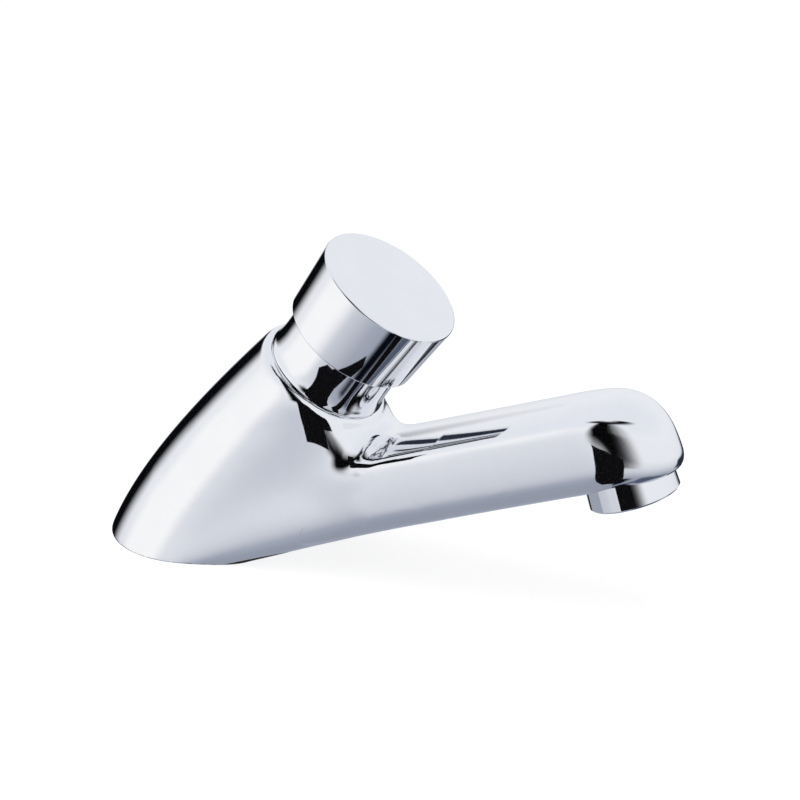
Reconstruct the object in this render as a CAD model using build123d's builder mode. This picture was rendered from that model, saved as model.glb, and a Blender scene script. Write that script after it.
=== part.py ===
from build123d import *
import os
from math import cos, pi, radians, sin, sqrt

# Self-closing basin tap. Millimetres and degrees. The origin is the centre of the foot on the deck,
# +Z is up and the spout points along +X. "Up" values along the stem are measured on the leaning axis
# of barrel, cartridge and button, from the point where it meets the deck.

# Foot and barrel of the casting
foot_radius = 26.8
foot_rounding = 0.6
shoulder_radius = 18.9
shoulder_rounding = 1.5
barrel_length = 65.0
barrel_tilt = 35.5
barrel_bulge = 0.3
barrel_sections = 4
stem_foot_x = 2.0
lean_x = 7.6
lean_z = 16.5

# Spout of the casting, measured along and square to its straight underside
spout_slope = 19.8
spout_root_x = 19.9
spout_side_height = 19.4
spout_crown = 3.3
spout_run = 105.0
spout_half_width = 14.2
spout_half_widths = ((-8.0, 21.0), (11.5, 18.0), (31.5, 16.0), (55.5, 15.1), (80.0, 14.5))
crease_rounding = 3.0
underside_rounding = 3.0
valley_rounding = 2.0

# Nose of the spout: turn about its pivot, height of the sides and height of the crest
nose_drop = 6.0
nose_sink = 3.0
nose_shape = ((22.5, 25.7, 29.0), (45.0, 23.0, 28.8), (67.5, 15.5, 25.4), (90.0, 8.0, 20.0))

# Web under the front of the shoulder
web_half_width = 13.0
web_corner = 6.0
web_inset = 0.05
web_drop = 33.0
web_low = 6.0

# Water ways of the casting
chamber_radius = 9.0
chamber_clearance = 1.0
seat_up = 28.0
cartridge_bore_radius = 12.5
flange_up = 50.0
bonnet_thread_radius = 14.5
port_up = 37.25
port_radius = 4.0
port_reach = 20.0
way_radius = 4.5
way_end_up = 14.6
inlet_way_x = 4.0
inlet_way_radius = 6.0
inlet_way_top = 18.0
outlet_along = 112.8
outlet_drop_radius = 7.0

# Clearances
thread_gap = 0.05
fixed_gap = 0.1
running_gap = 0.05
free_gap = 0.3
skirt_gap = 0.5

# Shank and what clamps the tap to the deck
shank_radius = 10.4775
shank_socket_depth = 8.0
shank_ring_z = 5.15
shank_tail = 50.0
inlet_thread_length = 13.5
undercut_width = 1.5
undercut_depth = 1.2
shank_bore_radius = 7.5
shank_lower_bore_radius = 6.8
limiter_up = -6.0
limiter_height = 3.0
limiter_orifice_radius = 3.0
strainer_flange_radius = 8.7
strainer_flange_height = 1.5
strainer_cup_height = 12.0
strainer_wall = 0.8
strainer_hole_radius = 0.7
strainer_holes = 10
strainer_rows = 3
deck_thickness = 20.0
deck_washer_radius = 25.0
deck_washer_height = 3.0
clamp_washer_radius = 23.5
clamp_washer_height = 1.5
washer_hole_gap = 0.4
nut_across_flats = 30.0
nut_height = 9.0
nut_chamfer = 1.0
gasket_inner_radius = 14.0
gasket_outer_radius = 24.0
gasket_height = 2.0

# O-rings
ring_section = 0.85
ring_groove_width = 2.0
ring_groove_gap = 0.1

# Seat and cartridge
seat_gasket_height = 1.0
seat_gasket_width = 2.6
seat_height = 2.5
seat_bore_radius = 4.5
seat_lip = 1.5
sleeve_collar = 2.5
gallery_height = 6.5
gallery_wall = 2.8
sleeve_throat_radius = 6.2
sleeve_bore_radius = 9.0
sleeve_port_radius = 2.2
sleeve_ports = 4
spring_ledge_up = 42.0
ring_up = (43.5, 47.3)
flange_radius = 14.2
flange_height = 3.0
tube_radius = 11.4
cap_up = 62.0
cap_plug_radius = 9.85
cap_plug_height = 6.0
cap_flange_height = 2.0
rod_seal_up = 66.0
pin_radius = 0.4
pin_offset = 5.2
pin_bottom_up = 51.0
pin_in_cap = 2.5

# Bonnet
bonnet_radius = 16.5
bonnet_bore_radius = 11.7
bonnet_visible = 13.4
bonnet_cover = 5.6
bonnet_foot_radius = 17.0
bonnet_foot_height = 1.0
bonnet_foot_chamfer = 0.3
bonnet_ring_up = 62.0

# Push button
button_height = 19.4
button_top_radius = 20.0
button_skirt_radius = 18.8
button_roof = 3.0
button_edge = 0.5
button_stroke = 6.0
boss_radius = 8.0
boss_length = 10.8
lock_nut_across_flats = 10.0
lock_nut_height = 3.0

# Push rod and what it carries
rod_radius = 3.0
rod_thread_radius = 2.0
rod_collar_radius = 4.5
rod_collar_height = 1.0
rod_in_boss = 8.0
rod_below_nut = 1.0
cup_height = 2.5
cup_lip = 1.4
cup_slope = 1.0
piston_height = 2.5
spring_plate_height = 1.0
spring_plate_radius = 8.6
clip_height = 0.8
clip_radius = 4.3
clip_groove_depth = 0.6
clip_opening = 2.4
pin_hole_radius = 0.75
valve_washer_radius = 7.5
valve_washer_height = 2.5
valve_disc_radius = 8.0
valve_disc_height = 1.5
valve_nut_across_flats = 7.0
valve_nut_height = 2.5

# Return spring
spring_radius = 7.2
spring_wire = 1.1
spring_turns = 4.5
spring_end_ease = 1.0
spring_steps_per_turn = 4

# Aerator, with heights measured from the spout's underside
aerator_radius = 12.1
aerator_top_radius = 11.7
aerator_drop = 6.2
aerator_collar_up = 3.0
aerator_edge = 0.5
aerator_thread_radius = 11.0
aerator_thread_length = 7.5
aerator_bore_radius = 9.6
aerator_lip_radius = 8.4
aerator_lip_height = 1.8
aerator_washer_height = 2.0
aerator_washer_inner = 8.5
screen_height = 0.4
screen_hole = 1.2
screen_pitch = 1.6
screen_rim = 1.0
spacer_height = 1.2
spacer_wall = 1.2
core_roof = 2.0
core_wall = 1.2
jet_radius = 0.6
jet_circle = 6.9
jets = 12
regulator_outer = 5.4
regulator_inner = 3.0
regulator_height = 1.5

# Lines that follow from these
lean = radians(barrel_tilt)
slope = radians(spout_slope)
stem_direction = Vector(sin(lean), 0, cos(lean))
stem_front = Vector(cos(lean), 0, -sin(lean))
spout_direction = Vector(cos(slope), 0, sin(slope))
spout_normal = Vector(-sin(slope), 0, cos(slope))


def stem_point(up):
    """Point on the leaning axis of barrel, cartridge and button."""
    return Vector(stem_foot_x, 0, 0) + stem_direction * up


def spout_point(along, up):
    """Point in the spout's middle plane, from where the underside meets the deck."""
    return Vector(spout_root_x, 0, 0) + spout_direction * along + spout_normal * up


def leaning_plane(x, z, tilt):
    """Plane across the barrel at a tilt, with its seam at the back."""
    angle = radians(tilt)
    return Plane(origin=(x, 0, z), x_dir=(-cos(angle), 0, sin(angle)), z_dir=(sin(angle), 0, cos(angle)))


def stem_plane(up):
    """Plane square to the stem axis."""
    foot = stem_point(up)
    return leaning_plane(foot.X, foot.Z, barrel_tilt)


def spout_section(along, up, turn, half_width, low, side, crown):
    """Cross-section of the spout: flat underside, flat sides and a crowned top."""
    angle = slope - radians(turn)
    plane = Plane(origin=spout_point(along, up), x_dir=(0, 1, 0), z_dir=(cos(angle), 0, sin(angle)))
    with BuildSketch(plane) as section:
        with BuildLine():
            Line((-half_width, low), (half_width, low))
            Line((half_width, low), (half_width, side))
            ThreePointArc((half_width, side), (0, side + crown), (-half_width, side))
            Line((-half_width, side), (-half_width, low))
        make_face()
    return section.sketch


# Radius and height along the stem, for every turned piece on it
stem_section = Plane(origin=stem_point(0), x_dir=stem_front * -1, z_dir=(0, 1, 0))
stem_axis = Axis(stem_point(0), stem_direction)

# Radius and height above the underside, for every turned piece of the aerator
outlet_section = Plane(origin=spout_point(outlet_along, 0), x_dir=spout_direction * -1, z_dir=(0, 1, 0))
outlet_axis = Axis(spout_point(outlet_along, 0), spout_normal)

# Heights on the stem that follow from the stack of pieces
seat_low = seat_up + seat_gasket_height
sleeve_low = seat_low + seat_height
gallery_low = sleeve_low + sleeve_collar
gallery_high = gallery_low + gallery_height
flange_top = flange_up + flange_height
cap_high = cap_up + cap_plug_height
cap_top = cap_high + cap_flange_height
skirt_low = barrel_length + bonnet_visible
bonnet_top = skirt_low + bonnet_cover
button_top = skirt_low + button_height
button_ceiling = button_top - button_roof
boss_low = button_ceiling - boss_length
lock_nut_low = boss_low - lock_nut_height
collar_low = cap_up - rod_collar_height
cup_low = collar_low - cup_height
piston_low = cup_low - piston_height
plate_low = piston_low - spring_plate_height
clip_low = plate_low - clip_height
valve_washer_low = seat_up - valve_washer_height
valve_disc_low = valve_washer_low - valve_disc_height
valve_nut_low = valve_disc_low - valve_nut_height
rod_low = valve_nut_low - rod_below_nut
chamber_floor_up = rod_low - button_stroke - chamber_clearance

# Barrel: round sections that lean over from the foot to the shoulder
shoulder = stem_point(barrel_length)
with BuildPart() as barrel:
    for station in range(barrel_sections):
        t = station / (barrel_sections - 1)
        centre_x = 2 * t * (1 - t) * lean_x + t * t * shoulder.X
        centre_z = 2 * t * (1 - t) * lean_z + t * t * shoulder.Z
        radius = foot_radius + (shoulder_radius - foot_radius) * t + 4 * barrel_bulge * t * (1 - t)
        with BuildSketch(leaning_plane(centre_x, centre_z, barrel_tilt * t)):
            Circle(radius)
    loft()
    fillet(barrel.faces().sort_by(Axis.Z)[-1].edges(), shoulder_rounding)
    fillet(barrel.faces().sort_by(Axis.Z)[0].edges(), foot_rounding)

# Spout: a straight run that widens towards the barrel, and a nose that turns down about a pivot
run_sections = [
    spout_section(along, 0, 0, half_width, -nose_sink, spout_side_height, spout_crown)
    for along, half_width in (*spout_half_widths, (spout_run, spout_half_width))
]
nose_sections = [
    spout_section(spout_run, -nose_drop, turn, spout_half_width, nose_drop - nose_sink, side, crest - side)
    for turn, side, crest in nose_shape
]
with BuildPart() as spout:
    loft(run_sections)
    loft(run_sections[-1:] + nose_sections)
    underside = Plane(origin=spout_point(0, 0), x_dir=(0, 1, 0), z_dir=spout_normal)
    split(bisect_by=underside, keep=Keep.TOP)


def height_on_spout(edge):
    """Height of an edge's middle above the underside."""
    return ((edge @ 0.5) - spout_point(0, 0)).dot(spout_normal)


with BuildPart() as cast_spout:
    add(spout.part)
    crease = cast_spout.edges().filter_by(
        lambda edge: edge.length > spout_run and abs(height_on_spout(edge) - spout_side_height) < 0.1
    )
    fillet(crease, crease_rounding)
    rim = cast_spout.edges().filter_by(lambda edge: abs(height_on_spout(edge)) < 0.01)
    fillet(rim.sort_by(Axis.X)[1:], underside_rounding)
    split(bisect_by=Plane.XY, keep=Keep.TOP)

# Web: the front of the shoulder carried straight down onto the spout's crown
with BuildPart() as web:
    with BuildSketch(stem_plane(barrel_length - shoulder_rounding)) as web_section:
        Circle(shoulder_radius - web_inset)
        Rectangle(2 * shoulder_radius, 2 * web_half_width, mode=Mode.INTERSECT)
        fillet(web_section.vertices(), web_corner)
    extrude(amount=web_drop, dir=spout_normal * -1)
    split(bisect_by=Plane(origin=spout_point(0, web_low), x_dir=(0, 1, 0), z_dir=spout_normal), keep=Keep.TOP)


def is_in_valley(edge):
    """Whether an edge lies between the foot's rim and the shoulder's rounding."""
    middle = edge @ 0.5
    below_shoulder = (shoulder - middle).dot(stem_direction)
    return middle.Z > underside_rounding and below_shoulder > shoulder_rounding + web_inset


with BuildPart() as casting:
    add(cast_spout.part)
    add(barrel.part)
    add(web.part)
    joint_line = new_edges(cast_spout.part, barrel.part, web.part, combined=casting.part)
    fillet(joint_line.filter_by(is_in_valley), valley_rounding)

# Everything that is hollow in the casting
port_start = stem_point(port_up)
way_start = port_start + stem_front * port_reach
way_end = spout_point(outlet_along, way_end_up)
way_direction = (way_end - way_start).normalized()
pocket_depth = aerator_thread_length + aerator_washer_height
collar_bore_radius = aerator_top_radius + fixed_gap
with BuildPart() as body:
    add(casting.part)
    with BuildSketch(stem_section):
        with BuildLine():
            Polyline(
                (0, chamber_floor_up),
                (chamber_radius, chamber_floor_up),
                (chamber_radius, seat_up),
                (cartridge_bore_radius, seat_up),
                (cartridge_bore_radius, flange_up),
                (bonnet_thread_radius, flange_up),
                (bonnet_thread_radius, barrel_length + free_gap),
                (0, barrel_length + free_gap),
                close=True,
            )
        make_face()
    revolve(axis=stem_axis, mode=Mode.SUBTRACT)
    with BuildSketch(Plane(origin=port_start, x_dir=(0, 1, 0), z_dir=stem_front)):
        Circle(port_radius)
    extrude(amount=port_reach + way_radius / 2, mode=Mode.SUBTRACT)
    with BuildSketch(Plane(origin=way_start, x_dir=(0, 1, 0), z_dir=way_direction)):
        Circle(way_radius)
    extrude(amount=(way_end - way_start).length, mode=Mode.SUBTRACT)
    with BuildSketch(outlet_section):
        with BuildLine():
            Polyline(
                (0, -free_gap),
                (collar_bore_radius, -free_gap),
                (collar_bore_radius, aerator_collar_up),
                (aerator_thread_radius, aerator_collar_up),
                (aerator_thread_radius, pocket_depth),
                (outlet_drop_radius, pocket_depth),
                (outlet_drop_radius, way_end_up),
                (0, way_end_up),
                close=True,
            )
        make_face()
    revolve(axis=outlet_axis, mode=Mode.SUBTRACT)
    with BuildSketch(Plane.XY):
        Circle(shank_radius + thread_gap)
    extrude(amount=shank_socket_depth, mode=Mode.SUBTRACT)
    with BuildSketch(Plane.XY):
        with Locations((inlet_way_x, 0)):
            Circle(inlet_way_radius)
    extrude(amount=inlet_way_top, mode=Mode.SUBTRACT)
    with BuildSketch(Plane.XY):
        Circle(gasket_outer_radius)
        Circle(gasket_inner_radius, mode=Mode.SUBTRACT)
    extrude(amount=gasket_height, mode=Mode.SUBTRACT)
finished = [(body, "body")]

# Shank, screwed up into the foot
ring_reach = 2 * ring_section + ring_groove_gap
shank_ring_radius = shank_radius + thread_gap - running_gap - ring_section
undercut_low = inlet_thread_length - shank_tail
with BuildPart() as shank:
    with BuildSketch(Plane.XZ):
        with BuildLine():
            Polyline(
                (shank_lower_bore_radius, -shank_tail + strainer_flange_height),
                (strainer_flange_radius + fixed_gap, -shank_tail + strainer_flange_height),
                (strainer_flange_radius + fixed_gap, -shank_tail),
                (shank_radius, -shank_tail),
                (shank_radius, undercut_low),
                (shank_radius - undercut_depth, undercut_low),
                (shank_radius - undercut_depth, undercut_low + undercut_width),
                (shank_radius, undercut_low + undercut_width),
                (shank_radius, shank_ring_z - ring_groove_width / 2),
                (shank_radius - ring_reach, shank_ring_z - ring_groove_width / 2),
                (shank_radius - ring_reach, shank_ring_z + ring_groove_width / 2),
                (shank_radius, shank_ring_z + ring_groove_width / 2),
                (shank_radius, shank_socket_depth),
                (shank_bore_radius, shank_socket_depth),
                (shank_bore_radius, limiter_up),
                (shank_lower_bore_radius, limiter_up),
                close=True,
            )
        make_face()
    revolve(axis=Axis.Z)
finished.append((shank, "shank"))

with BuildPart() as shank_o_ring:
    with BuildSketch(Plane.XZ):
        with Locations((shank_ring_radius, shank_ring_z)):
            Circle(ring_section)
    revolve(axis=Axis.Z)
finished.append((shank_o_ring, "shank_o_ring"))

with BuildPart() as flow_limiter:
    with BuildSketch(Plane.XY.offset(limiter_up)):
        Circle(shank_bore_radius - fixed_gap)
        Circle(limiter_orifice_radius, mode=Mode.SUBTRACT)
    extrude(amount=limiter_height)
finished.append((flow_limiter, "flow_limiter"))

# Cup strainer, hung by its flange in the lower end of the shank
strainer_radius = shank_lower_bore_radius - fixed_gap
with BuildPart() as inlet_strainer:
    with BuildSketch(Plane.XY.offset(-shank_tail)):
        Circle(strainer_flange_radius)
    extrude(amount=strainer_flange_height)
    with BuildSketch(Plane.XY.offset(-shank_tail)):
        Circle(strainer_radius)
    extrude(amount=strainer_cup_height)
    with BuildSketch(Plane.XY.offset(-shank_tail)):
        Circle(strainer_radius - strainer_wall)
    extrude(amount=strainer_cup_height - strainer_wall, mode=Mode.SUBTRACT)
    row_pitch = (strainer_cup_height - strainer_flange_height) / (strainer_rows + 1)
    for row in range(strainer_rows):
        row_z = -shank_tail + strainer_flange_height + row_pitch * (row + 1)
        for hole in range(strainer_holes):
            angle = 2 * pi * (hole + row / 2) / strainer_holes
            outward = Vector(cos(angle), sin(angle), 0)
            with BuildSketch(Plane(origin=(0, 0, row_z), x_dir=(0, 0, 1), z_dir=outward)):
                Circle(strainer_hole_radius)
            extrude(amount=strainer_flange_radius, mode=Mode.SUBTRACT)
finished.append((inlet_strainer, "inlet_strainer"))

with BuildPart() as base_gasket:
    with BuildSketch(Plane.XY):
        Circle(gasket_outer_radius - fixed_gap)
        Circle(gasket_inner_radius + fixed_gap, mode=Mode.SUBTRACT)
    extrude(amount=gasket_height)
finished.append((base_gasket, "base_gasket"))

# Washers and nut that clamp the deck from below
deck_washer_top = -deck_thickness
clamp_washer_top = deck_washer_top - deck_washer_height
nut_top = clamp_washer_top - clamp_washer_height
with BuildPart() as deck_washer:
    with BuildSketch(Plane.XY.offset(deck_washer_top)):
        Circle(deck_washer_radius)
        Circle(shank_radius + washer_hole_gap, mode=Mode.SUBTRACT)
    extrude(amount=-deck_washer_height)
finished.append((deck_washer, "deck_washer"))

with BuildPart() as clamp_washer:
    with BuildSketch(Plane.XY.offset(clamp_washer_top)):
        Circle(clamp_washer_radius)
        Circle(shank_radius + washer_hole_gap, mode=Mode.SUBTRACT)
    extrude(amount=-clamp_washer_height)
finished.append((clamp_washer, "clamp_washer"))

with BuildPart() as back_nut:
    with BuildSketch(Plane.XY.offset(nut_top)):
        RegularPolygon(nut_across_flats / 2, 6, major_radius=False)
    extrude(amount=-nut_height)
    with BuildSketch(Plane.XY.offset(nut_top)):
        Circle(nut_across_flats / 2 + nut_chamfer)
    extrude(amount=-nut_height, mode=Mode.INTERSECT)
    with BuildSketch(Plane.XY.offset(nut_top)):
        Circle(shank_radius + thread_gap)
    extrude(amount=-nut_height, mode=Mode.SUBTRACT)
finished.append((back_nut, "back_nut"))

# Valve seat: gasket, plate and the lip that the valve washer closes against
with BuildPart() as seat_gasket:
    with BuildSketch(stem_plane(seat_up)):
        Circle(cartridge_bore_radius - fixed_gap)
        Circle(cartridge_bore_radius - fixed_gap - seat_gasket_width, mode=Mode.SUBTRACT)
    extrude(amount=seat_gasket_height)
finished.append((seat_gasket, "seat_gasket"))

with BuildPart() as valve_seat:
    with BuildSketch(stem_section):
        with BuildLine():
            Polyline(
                (seat_bore_radius, seat_up),
                (seat_bore_radius + seat_lip, seat_up),
                (seat_bore_radius + seat_lip, seat_low),
                (cartridge_bore_radius - fixed_gap, seat_low),
                (cartridge_bore_radius - fixed_gap, sleeve_low),
                (seat_bore_radius, sleeve_low),
                close=True,
            )
        make_face()
    revolve(axis=stem_axis)
finished.append((valve_seat, "valve_seat"))

# Cartridge sleeve: water gallery below, timing chamber above
sleeve_radius = cartridge_bore_radius - fixed_gap
gallery_radius = sleeve_throat_radius + gallery_wall
plug_bore_radius = cap_plug_radius + thread_gap
with BuildPart() as cartridge_sleeve:
    with BuildSketch(stem_section):
        with BuildLine():
            Polyline(
                (sleeve_throat_radius, sleeve_low),
                (sleeve_radius, sleeve_low),
                (sleeve_radius, gallery_low),
                (gallery_radius, gallery_low),
                (gallery_radius, gallery_high),
                (sleeve_radius, gallery_high),
                (sleeve_radius, flange_up),
                (flange_radius, flange_up),
                (flange_radius, flange_top),
                (tube_radius, flange_top),
                (tube_radius, cap_high),
                (plug_bore_radius, cap_high),
                (plug_bore_radius, cap_up),
                (sleeve_bore_radius, cap_up),
                (sleeve_bore_radius, spring_ledge_up),
                (sleeve_throat_radius, spring_ledge_up),
                close=True,
            )
        make_face()
    revolve(axis=stem_axis)
    with BuildSketch(stem_section):
        for up in ring_up:
            with Locations((sleeve_radius, up)):
                Rectangle(2 * ring_reach, ring_groove_width)
    revolve(axis=stem_axis, mode=Mode.SUBTRACT)
    for port in range(sleeve_ports):
        angle = 2 * pi * port / sleeve_ports
        outward = stem_front * cos(angle) + Vector(0, 1, 0) * sin(angle)
        with BuildSketch(Plane(origin=port_start, x_dir=stem_direction, z_dir=outward)):
            Circle(sleeve_port_radius)
        extrude(amount=sleeve_radius, mode=Mode.SUBTRACT)
finished.append((cartridge_sleeve, "cartridge_sleeve"))

with BuildPart() as cartridge_o_rings:
    with BuildSketch(stem_section):
        with Locations(*[(cartridge_bore_radius - running_gap - ring_section, up) for up in ring_up]):
            Circle(ring_section)
    revolve(axis=stem_axis)
finished.append((cartridge_o_rings, "cartridge_o_rings"))

# Cap that closes the timing chamber and guides the rod
rod_bore_radius = rod_radius + running_gap
with BuildPart() as cartridge_cap:
    with BuildSketch(stem_section):
        with BuildLine():
            Polyline(
                (rod_bore_radius, cap_up),
                (cap_plug_radius, cap_up),
                (cap_plug_radius, cap_high),
                (tube_radius, cap_high),
                (tube_radius, cap_top),
                (rod_bore_radius, cap_top),
                close=True,
            )
        make_face()
    revolve(axis=stem_axis)
    with BuildSketch(stem_section):
        with Locations((rod_radius, rod_seal_up)):
            Rectangle(2 * ring_reach, ring_groove_width)
    revolve(axis=stem_axis, mode=Mode.SUBTRACT)
    with BuildSketch(stem_plane(cap_up)):
        with Locations((pin_offset, 0)):
            Circle(pin_radius + running_gap)
    extrude(amount=pin_in_cap, mode=Mode.SUBTRACT)
finished.append((cartridge_cap, "cartridge_cap"))

with BuildPart() as rod_seal:
    with BuildSketch(stem_section):
        with Locations((rod_radius + running_gap + ring_section, rod_seal_up)):
            Circle(ring_section)
    revolve(axis=stem_axis)
finished.append((rod_seal, "rod_seal"))

with BuildPart() as timing_pin:
    with BuildSketch(stem_plane(pin_bottom_up)):
        with Locations((pin_offset, 0)):
            Circle(pin_radius)
    extrude(amount=cap_up + pin_in_cap - pin_bottom_up)
finished.append((timing_pin, "timing_pin"))

# Bonnet: screwed into the barrel, it holds the cartridge down and guides the button
bonnet_ring_radius = bonnet_thread_radius - running_gap - ring_section
with BuildPart() as bonnet:
    with BuildSketch(stem_section):
        with BuildLine():
            Polyline(
                (bonnet_bore_radius, flange_top),
                (bonnet_thread_radius - thread_gap, flange_top),
                (bonnet_thread_radius - thread_gap, barrel_length),
                (bonnet_foot_radius, barrel_length),
                (bonnet_foot_radius, barrel_length + bonnet_foot_height - bonnet_foot_chamfer),
                (bonnet_foot_radius - bonnet_foot_chamfer, barrel_length + bonnet_foot_height),
                (bonnet_radius, barrel_length + bonnet_foot_height),
                (bonnet_radius, bonnet_top),
                (bonnet_bore_radius, bonnet_top),
                close=True,
            )
        make_face()
    revolve(axis=stem_axis)
    with BuildSketch(stem_section):
        with Locations((bonnet_thread_radius, bonnet_ring_up)):
            Rectangle(2 * ring_reach, ring_groove_width)
    revolve(axis=stem_axis, mode=Mode.SUBTRACT)
finished.append((bonnet, "bonnet"))

with BuildPart() as bonnet_o_ring:
    with BuildSketch(stem_section):
        with Locations((bonnet_ring_radius, bonnet_ring_up)):
            Circle(ring_section)
    revolve(axis=stem_axis)
finished.append((bonnet_o_ring, "bonnet_o_ring"))

# Push button: a conical cap whose boss is screwed on the rod
rod_top = boss_low + rod_in_boss
skirt_bore_radius = bonnet_radius + skirt_gap
with BuildPart() as push_button:
    with BuildSketch(stem_section):
        with BuildLine():
            Polyline(
                (skirt_bore_radius, skirt_low),
                (button_skirt_radius, skirt_low),
                (button_top_radius, button_top),
                (0, button_top),
                (0, rod_top),
                (rod_radius + thread_gap, rod_top),
                (rod_radius + thread_gap, boss_low),
                (boss_radius, boss_low),
                (boss_radius, button_ceiling),
                (skirt_bore_radius, button_ceiling),
                close=True,
            )
        make_face()
    revolve(axis=stem_axis)
    outer_rims = push_button.edges().filter_by(
        lambda edge: edge.length > 2 * pi * (button_skirt_radius - button_edge)
    )
    fillet(outer_rims.filter_by(GeomType.CIRCLE), button_edge)
finished.append((push_button, "push_button"))

with BuildPart() as button_lock_nut:
    with BuildSketch(stem_plane(lock_nut_low)):
        RegularPolygon(lock_nut_across_flats / 2, 6, major_radius=False)
        Circle(rod_radius + thread_gap, mode=Mode.SUBTRACT)
    extrude(amount=lock_nut_height)
finished.append((button_lock_nut, "button_lock_nut"))

# Push rod, with a collar under the cap and a groove for the clip
clip_groove_radius = rod_radius - clip_groove_depth
with BuildPart() as push_rod:
    with BuildSketch(stem_section):
        with BuildLine():
            Polyline(
                (0, rod_low),
                (rod_thread_radius, rod_low),
                (rod_thread_radius, seat_up),
                (rod_radius, seat_up),
                (rod_radius, clip_low),
                (clip_groove_radius, clip_low),
                (clip_groove_radius, plate_low),
                (rod_radius, plate_low),
                (rod_radius, collar_low),
                (rod_collar_radius, collar_low),
                (rod_collar_radius, cap_up),
                (rod_radius, cap_up),
                (rod_radius, rod_top),
                (0, rod_top),
                close=True,
            )
        make_face()
    revolve(axis=stem_axis)
finished.append((push_rod, "push_rod"))

# Cup seal of the timing chamber, with its lip turned up
cup_radius = sleeve_bore_radius - running_gap
piston_radius = sleeve_bore_radius - free_gap
with BuildPart() as piston_cup:
    with BuildSketch(stem_section):
        with BuildLine():
            Polyline(
                (rod_radius + thread_gap, cup_low),
                (piston_radius, cup_low),
                (cup_radius, collar_low - cup_slope),
                (cup_radius, collar_low),
                (cup_radius - cup_lip, collar_low),
                (cup_radius - cup_lip - cup_slope, collar_low - cup_slope),
                (rod_collar_radius + free_gap, collar_low - cup_slope),
                (rod_collar_radius, collar_low),
                (rod_radius + thread_gap, collar_low),
                close=True,
            )
        make_face()
    revolve(axis=stem_axis)
    with BuildSketch(stem_plane(cup_low)):
        with Locations((pin_offset, 0)):
            Circle(pin_hole_radius)
    extrude(amount=cup_height, mode=Mode.SUBTRACT)
finished.append((piston_cup, "piston_cup"))

with BuildPart() as piston:
    with BuildSketch(stem_plane(piston_low)):
        Circle(piston_radius)
        Circle(rod_radius + thread_gap, mode=Mode.SUBTRACT)
        with Locations((pin_offset, 0)):
            Circle(pin_hole_radius, mode=Mode.SUBTRACT)
    extrude(amount=piston_height)
finished.append((piston, "piston"))

with BuildPart() as spring_plate:
    with BuildSketch(stem_plane(plate_low)):
        Circle(spring_plate_radius)
        Circle(rod_radius + thread_gap, mode=Mode.SUBTRACT)
        with Locations((pin_offset, 0)):
            Circle(pin_hole_radius, mode=Mode.SUBTRACT)
    extrude(amount=spring_plate_height)
finished.append((spring_plate, "spring_plate"))

with BuildPart() as piston_clip:
    with BuildSketch(stem_plane(clip_low)):
        Circle(clip_radius)
        Circle(clip_groove_radius + thread_gap, mode=Mode.SUBTRACT)
        with Locations((-clip_radius, 0)):
            Rectangle(2 * clip_radius, clip_opening, mode=Mode.SUBTRACT)
    extrude(amount=clip_height)
finished.append((piston_clip, "piston_clip"))

# Valve: a rubber washer backed by a disc, held up against the rod's shoulder
with BuildPart() as valve_washer:
    with BuildSketch(stem_plane(valve_washer_low)):
        Circle(valve_washer_radius)
        Circle(rod_thread_radius + thread_gap, mode=Mode.SUBTRACT)
    extrude(amount=valve_washer_height)
finished.append((valve_washer, "valve_washer"))

with BuildPart() as valve_disc:
    with BuildSketch(stem_plane(valve_disc_low)):
        Circle(valve_disc_radius)
        Circle(rod_thread_radius + thread_gap, mode=Mode.SUBTRACT)
    extrude(amount=valve_disc_height)
finished.append((valve_disc, "valve_disc"))

with BuildPart() as valve_nut:
    with BuildSketch(stem_plane(valve_nut_low)):
        RegularPolygon(valve_nut_across_flats / 2, 6, major_radius=False)
        Circle(rod_thread_radius + thread_gap, mode=Mode.SUBTRACT)
    extrude(amount=valve_nut_height)
finished.append((valve_nut, "valve_nut"))

# Return spring: one unbroken wire on biarcs, with eased turns at both ends
spring_low = spring_ledge_up + spring_wire / 2
spring_rise = plate_low - spring_ledge_up - spring_wire


def spring_point(turn):
    """Centre of the wire after a number of turns."""
    up = spring_low + spring_rise * turn / spring_turns
    up -= spring_end_ease * sin(2 * pi * turn / spring_turns)
    angle = 2 * pi * turn
    outward = stem_front * cos(angle) + Vector(0, 1, 0) * sin(angle)
    return stem_point(up) + outward * spring_radius


def spring_tangent(turn):
    """Direction of the wire after a number of turns."""
    climb = spring_rise / spring_turns
    climb -= spring_end_ease * 2 * pi / spring_turns * cos(2 * pi * turn / spring_turns)
    angle = 2 * pi * turn
    onward = Vector(0, 1, 0) * cos(angle) - stem_front * sin(angle)
    return (onward * (2 * pi * spring_radius) + stem_direction * climb).normalized()


spring_steps = round(spring_turns * spring_steps_per_turn)
with BuildPart() as return_spring:
    with BuildLine() as wire:
        Line(spring_point(0) - spring_tangent(0) * spring_wire, spring_point(0))
        for step in range(spring_steps):
            start_turn = spring_turns * step / spring_steps
            end_turn = spring_turns * (step + 1) / spring_steps
            chord = spring_point(end_turn) - spring_point(start_turn)
            start_tangent = spring_tangent(start_turn)
            end_tangent = spring_tangent(end_turn)
            both = start_tangent + end_tangent
            slack = 4 - both.dot(both)
            along = chord.dot(both)
            reach = (sqrt(along * along + slack * chord.dot(chord)) - along) / slack
            middle = (spring_point(start_turn) + spring_point(end_turn)) * 0.5
            middle += (start_tangent - end_tangent) * (reach / 2)
            first_arc = TangentArc(spring_point(start_turn), middle, tangent=start_tangent)
            TangentArc(middle, spring_point(end_turn), tangent=first_arc % 1)
        Line(spring_point(spring_turns), spring_point(spring_turns) + spring_tangent(spring_turns) * spring_wire)
    with BuildSketch(Plane(origin=wire.line @ 0, z_dir=wire.line % 0)):
        Circle(spring_wire / 2)
    sweep(path=wire.line)
finished.append((return_spring, "return_spring"))

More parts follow.
